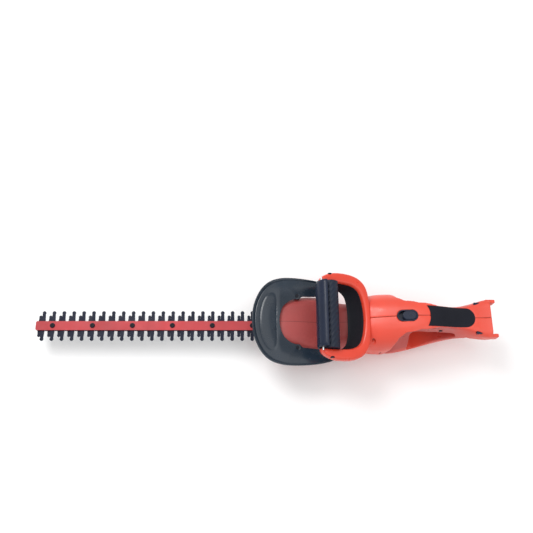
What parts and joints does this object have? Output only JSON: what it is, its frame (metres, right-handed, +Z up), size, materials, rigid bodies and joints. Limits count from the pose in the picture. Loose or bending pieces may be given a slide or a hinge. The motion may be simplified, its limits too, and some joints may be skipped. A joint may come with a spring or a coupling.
{
  "type": "hedge trimmer",
  "caption": "Cordless hedge trimmer with a double-sided toothed cutting bar, smoke hand guard, front bail handle with switch bar, and closed rear handle with trigger.",
  "frame": {"origin": "on the floor under the middle of the tool, on its centre plane", "axes": "+X along the tool from the cutting bar's tip to the battery foot, +Z up"},
  "size_m": [0.96, 0.1872, 0.1616],
  "materials": {
    "orange_shell": "satin moulded",
    "red_shell": "fine spark texture",
    "smoke_plastic": "smoke tinted, polished",
    "black_grip": "ribbed soft grip",
    "black_plastic": "fine texture",
    "red_plate": "semi gloss paint",
    "blade_steel": "dark coated, ground edges",
    "fastener_black": "black oxide",
    "steel": "bright steel",
    "cast_alloy": "die cast",
    "gear_steel": "sintered",
    "bronze": "sintered bronze",
    "felt": "oiled felt",
    "board": "coated laminate",
    "contact": "plated",
    "lead": "smooth sleeve",
    "terminal": "fine texture"
  },
  "bodies": {
    "body": {"bail": "orange_shell", "bail_apron": "black_plastic", "bail_grip": "black_grip", "battery_socket": "black_plastic", "blade_bolts": "fastener_black", "blade_nuts": "steel", "blade_plate": "red_plate", "blade_rail": "blade_steel", "blade_spacers": "steel", "blade_washers": "steel", "blade_wiper": "felt", "button_bezel": "black_plastic", "circuit_board": "board", "front_housing_left": "red_shell", "front_housing_right": "red_shell", "gear_case": "cast_alloy", "gear_case_plate": "cast_alloy", "gear_case_screws": "steel", "gear_cover": "black_plastic", "grip_screws": "fastener_black", "guard": "smoke_plastic", "guard_screws": "fastener_black", "handle_inlay": "black_grip", "housing_screws": "fastener_black", "motor_can": "steel", "power_leads": "lead", "rear_housing_left": "orange_shell", "rear_housing_right": "orange_shell", "shaft_bushes": "bronze", "switch_bar_pins": "steel", "terminal_blades": "contact", "terminal_block": "terminal", "trigger_pin": "steel", "trigger_switch": "terminal"},
    "upper_blade": {"upper_blade": "blade_steel"},
    "lower_blade": {"lower_blade": "blade_steel"},
    "crank": {"drive_gear": "gear_steel", "crank_shaft": "steel", "upper_eccentric": "gear_steel", "lower_eccentric": "gear_steel"},
    "rotor": {"motor_shaft": "steel", "motor_pinion": "bronze"},
    "switch_bar": {"switch_bar": "black_plastic", "switch_bar_springs": "steel"},
    "trigger": {"trigger": "black_plastic", "trigger_spring": "steel"},
    "lock_button": {"lock_button": "black_plastic"}
  },
  "joints": [
    {"name": "crank_spin", "type": "hinge", "parent": "body", "child": "crank", "pos_m": [0.062, 0, 0.063], "axis": [0, 0, 1], "range_deg": [-60, 60]},
    {"name": "rotor_spin", "type": "hinge", "parent": "body", "child": "rotor", "pos_m": [0.10575, 0, 0.063], "axis": [0, 0, 1], "range_deg": [-240, 240]},
    {"name": "upper_blade_slide", "type": "slide", "parent": "body", "child": "upper_blade", "axis": [1, 0, 0], "range_m": [-0.0056, 0.0056]},
    {"name": "lower_blade_slide", "type": "slide", "parent": "body", "child": "lower_blade", "axis": [1, 0, 0], "range_m": [-0.0056, 0.0056]},
    {"name": "switch_bar_squeeze", "type": "hinge", "parent": "body", "child": "switch_bar", "pos_m": [0.121, 0, 0.15], "axis": [0, -1, 0], "range_deg": [0, 6], "stiffness_Nm_per_rad": 0.6, "springref_deg": -14.32},
    {"name": "trigger_squeeze", "type": "hinge", "parent": "body", "child": "trigger", "pos_m": [0.317, 0, 0.107], "axis": [0, -1, 0], "range_deg": [0, 7], "stiffness_Nm_per_rad": 0.6, "springref_deg": -14.32},
    {"name": "lock_button_slide", "type": "slide", "parent": "body", "child": "lock_button", "axis": [-0.9925, 0, -0.1219], "range_m": [0, 0.008]}
  ],
  "couplings": [
    {"joint": "rotor_spin", "follows": "crank_spin", "ratio": -4},
    {"joint": "upper_blade_slide", "follows": "crank_spin", "m_per_rad": -0.0053},
    {"joint": "lower_blade_slide", "follows": "crank_spin", "m_per_rad": 0.0053}
  ]
}
